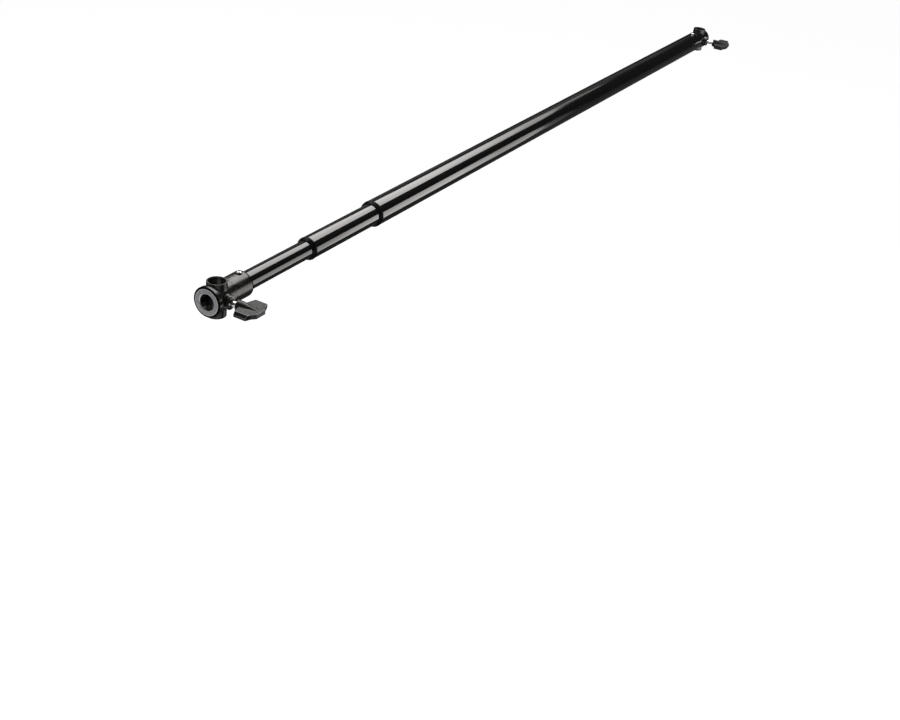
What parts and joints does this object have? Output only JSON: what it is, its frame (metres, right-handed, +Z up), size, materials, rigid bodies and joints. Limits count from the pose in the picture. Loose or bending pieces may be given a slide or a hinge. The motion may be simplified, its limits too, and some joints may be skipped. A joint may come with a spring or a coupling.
{
  "type": "telescopic light stand crossbar",
  "caption": "Black telescopic tube with a die-cast stud socket and wing screw on each end and twist locks inside, made to span two light stands.",
  "frame": {"origin": "where the far socket's upright bore crosses the bar's axis", "axes": "+X along the bar, from its thin end to its thick end; +Z up, along the upright bores; the wing screws point to -Y"},
  "size_m": [1.3886, 0.0725, 0.038],
  "materials": {
    "tube_paint": "glossy black powder coat on aluminium",
    "casting": "semi-gloss black coat on die-cast aluminium, machined bare on the end face",
    "collar": "satin black moulded plastic",
    "knob": "satin dark grey moulded plastic",
    "steel": "bright zinc-plated steel",
    "rivet": "bright bare aluminium",
    "brass": "turned",
    "plug": "turned, bare",
    "sleeve": "natural nylon"
  },
  "bodies": {
    "outer_section": {"outer_tube": "tube_paint", "outer_collar": "collar", "far_socket": "casting", "far_rivet_top": "rivet", "far_rivet_bottom": "rivet"},
    "far_pad": {"far_pressure_pad": "brass"},
    "far_screw": {"far_clamp_screw": "steel", "far_wing_knob": "knob"},
    "mid_sleeve": {"mid_lock_sleeve": "sleeve"},
    "mid_cone": {"mid_lock_cone": "brass"},
    "mid_section": {"mid_tube": "tube_paint", "mid_collar": "collar", "mid_lock_plug": "plug", "mid_lock_stud": "steel", "mid_lock_clip": "steel"},
    "inner_sleeve": {"inner_lock_sleeve": "sleeve"},
    "inner_cone": {"inner_lock_cone": "brass"},
    "inner_section": {"inner_tube": "tube_paint", "inner_lock_plug": "plug", "inner_lock_stud": "steel", "inner_lock_clip": "steel", "near_socket": "casting", "near_rivet_top": "rivet", "near_rivet_bottom": "rivet"},
    "near_pad": {"near_pressure_pad": "brass"},
    "near_screw": {"near_clamp_screw": "steel", "near_wing_knob": "knob"}
  },
  "joints": [
    {"name": "mid_slide", "type": "slide", "parent": "outer_section", "child": "mid_sleeve", "axis": [-1, 0, 0], "range_m": [-0.119, 0.8]},
    {"name": "mid_twist", "type": "hinge", "parent": "mid_sleeve", "child": "mid_section", "pos_m": [-0.2082, 0, 0], "axis": [1, 0, 0], "range_deg": [0, 270]},
    {"name": "mid_cone_feed", "type": "slide", "parent": "mid_sleeve", "child": "mid_cone", "axis": [1, 0, 0], "range_m": [0, 0.00094]},
    {"name": "inner_slide", "type": "slide", "parent": "mid_section", "child": "inner_sleeve", "axis": [-1, 0, 0], "range_m": [-0.105, 0.78]},
    {"name": "inner_twist", "type": "hinge", "parent": "inner_sleeve", "child": "inner_section", "pos_m": [-0.3781, 0, 0], "axis": [1, 0, 0], "range_deg": [0, 270]},
    {"name": "inner_cone_feed", "type": "slide", "parent": "inner_sleeve", "child": "inner_cone", "axis": [1, 0, 0], "range_m": [0, 0.00076]},
    {"name": "far_pad_feed", "type": "slide", "parent": "outer_section", "child": "far_pad", "axis": [0, 1, 0], "range_m": [-0.00201, 0.00931]},
    {"name": "far_screw_turn", "type": "hinge", "parent": "far_pad", "child": "far_screw", "pos_m": [0, -0.0293, 0], "axis": [0, 1, 0], "range_deg": [-720, 3348]},
    {"name": "near_pad_feed", "type": "slide", "parent": "inner_section", "child": "near_pad", "axis": [0, 1, 0], "range_m": [-0.00501, 0.00601]},
    {"name": "near_screw_turn", "type": "hinge", "parent": "near_pad", "child": "near_screw", "pos_m": [-1.3529, -0.026, 0], "axis": [0, 1, 0], "range_deg": [-1800, 2160]}
  ],
  "couplings": [
    {"joint": "mid_cone_feed", "follows": "mid_twist", "m_per_rad": 0.00019894},
    {"joint": "inner_cone_feed", "follows": "inner_twist", "m_per_rad": 0.00015915},
    {"joint": "far_pad_feed", "follows": "far_screw_turn", "m_per_rad": 0.00015915},
    {"joint": "near_pad_feed", "follows": "near_screw_turn", "m_per_rad": 0.00015915}
  ]
}
